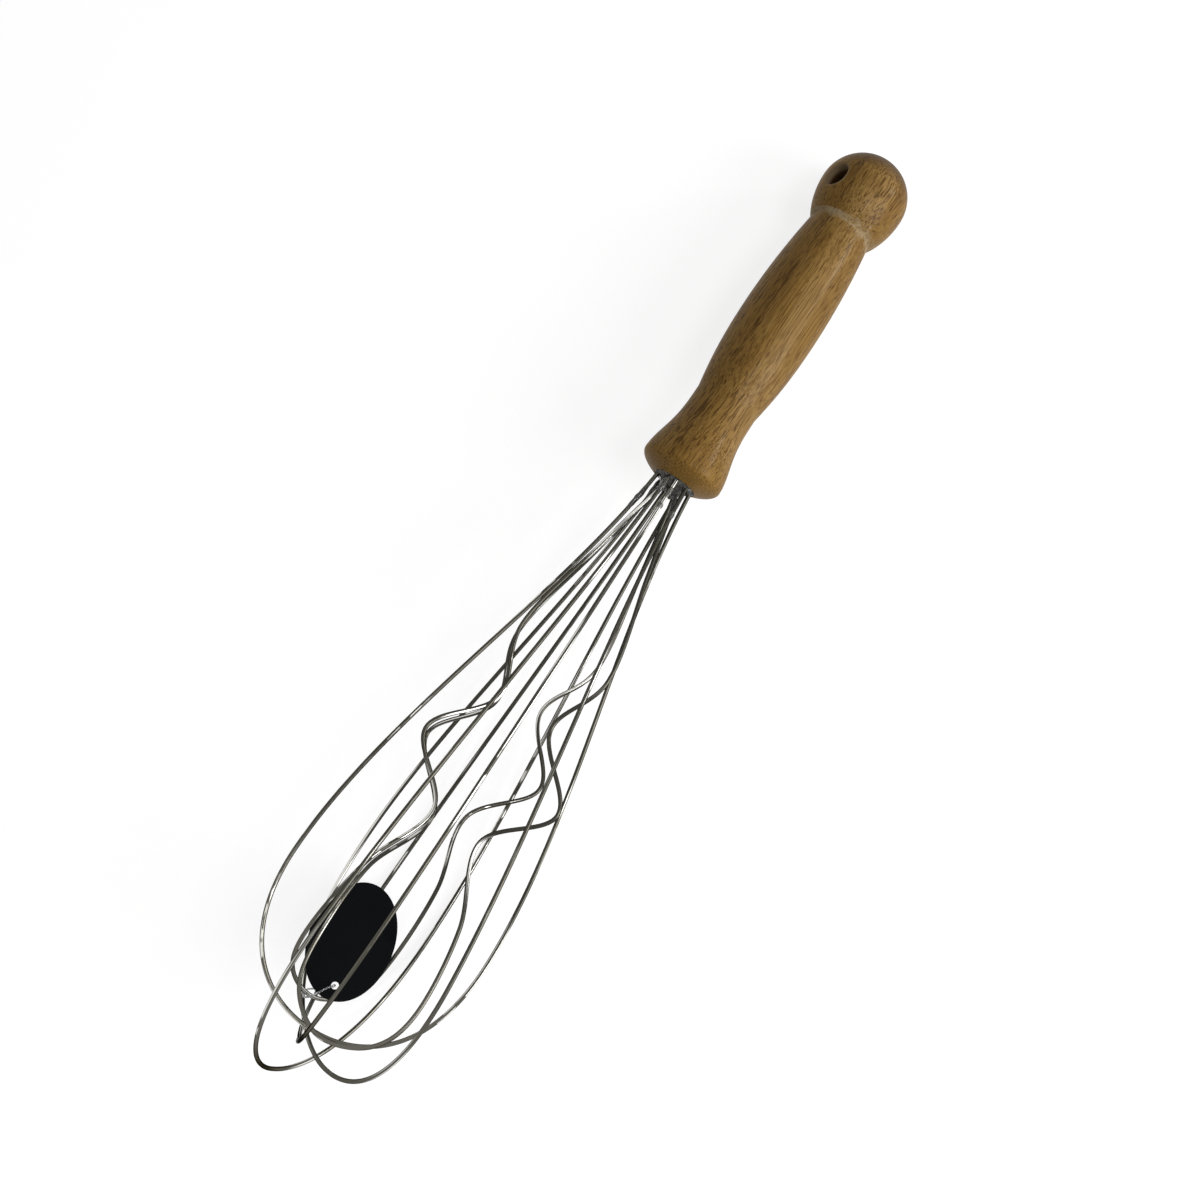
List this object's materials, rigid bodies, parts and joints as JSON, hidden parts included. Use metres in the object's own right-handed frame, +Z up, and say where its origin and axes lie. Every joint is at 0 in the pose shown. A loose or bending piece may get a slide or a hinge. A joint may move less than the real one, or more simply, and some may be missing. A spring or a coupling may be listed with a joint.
{
  "type": "balloon whisk",
  "caption": "Balloon whisk with nested plain and wavy steel wire loops set in clear resin in a turned wooden handle, and a plain oval tag hung on a clear loop among the wires.",
  "frame": {"origin": "Middle of the hanging hole, on the handle's own axis in the ball at its end.", "axes": "+X runs from the ball toward the tip of the wires and lies level, with the whisk itself raised by about 3.6 degrees as it rests on a table. +Z is up. +Y completes the right-handed frame."},
  "size_m": [0.3561, 0.0684, 0.0694],
  "materials": {
    "wood": "satin lacquer over turned hardwood",
    "resin": "clear glossy cast resin",
    "steel": "bright drawn stainless wire",
    "card": "satin black card",
    "nylon": "clear moulded nylon"
  },
  "bodies": {
    "whisk": {"handle": "wood", "potting_resin": "resin", "plain_loop_1": "steel", "plain_loop_2": "steel", "plain_loop_3": "steel", "plain_loop_4": "steel", "wavy_loop_1": "steel", "wavy_loop_2": "steel"},
    "tag": {"hang_tag": "card", "tag_loop": "nylon"}
  },
  "joints": [
    {"name": "tag_swing", "type": "hinge", "parent": "whisk", "child": "tag", "pos_m": [0.317, -0.009, 0.0125], "axis": [0, 1, 0], "range_deg": [0, 20]}
  ]
}
